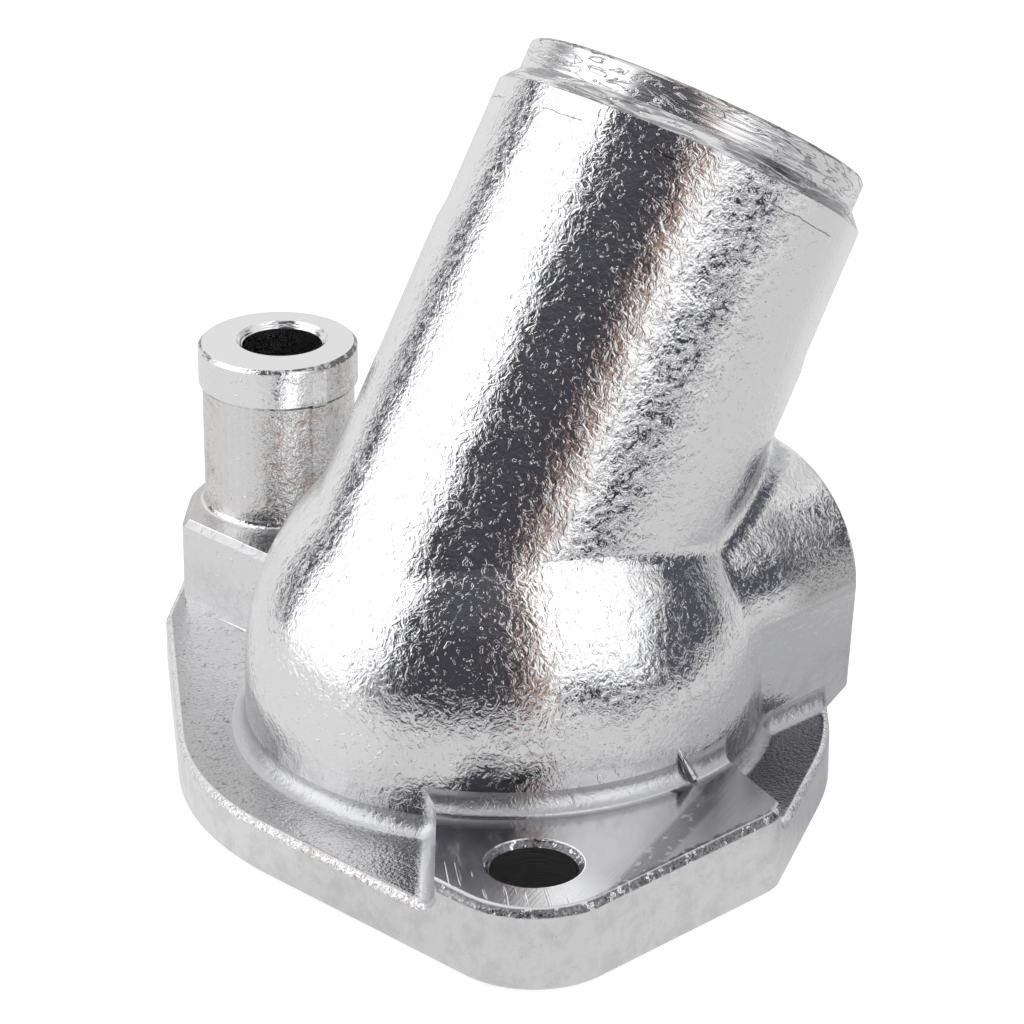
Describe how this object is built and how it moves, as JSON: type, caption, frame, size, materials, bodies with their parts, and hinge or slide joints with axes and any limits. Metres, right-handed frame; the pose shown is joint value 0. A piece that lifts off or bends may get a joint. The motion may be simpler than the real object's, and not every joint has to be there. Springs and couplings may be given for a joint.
{
  "type": "coolant water outlet",
  "caption": "Cast aluminium engine coolant outlet: flanged domed thermostat cover with a leaning hose neck, tall bolt boss and arched sensor boss.",
  "frame": {"origin": "centre of the thermostat seat, on the gasket face", "axes": "+Z away from the engine, square to the gasket face; +X the way the hose neck leans; +Y towards the tall bolt boss"},
  "size_m": [0.0769, 0.0896, 0.0749],
  "materials": {
    "cast_aluminium": "bright as-cast aluminium, finely wrinkled, with machined mouth and pad"
  },
  "bodies": {
    "root": {"outlet_casting": "cast_aluminium"}
  },
  "joints": []
}
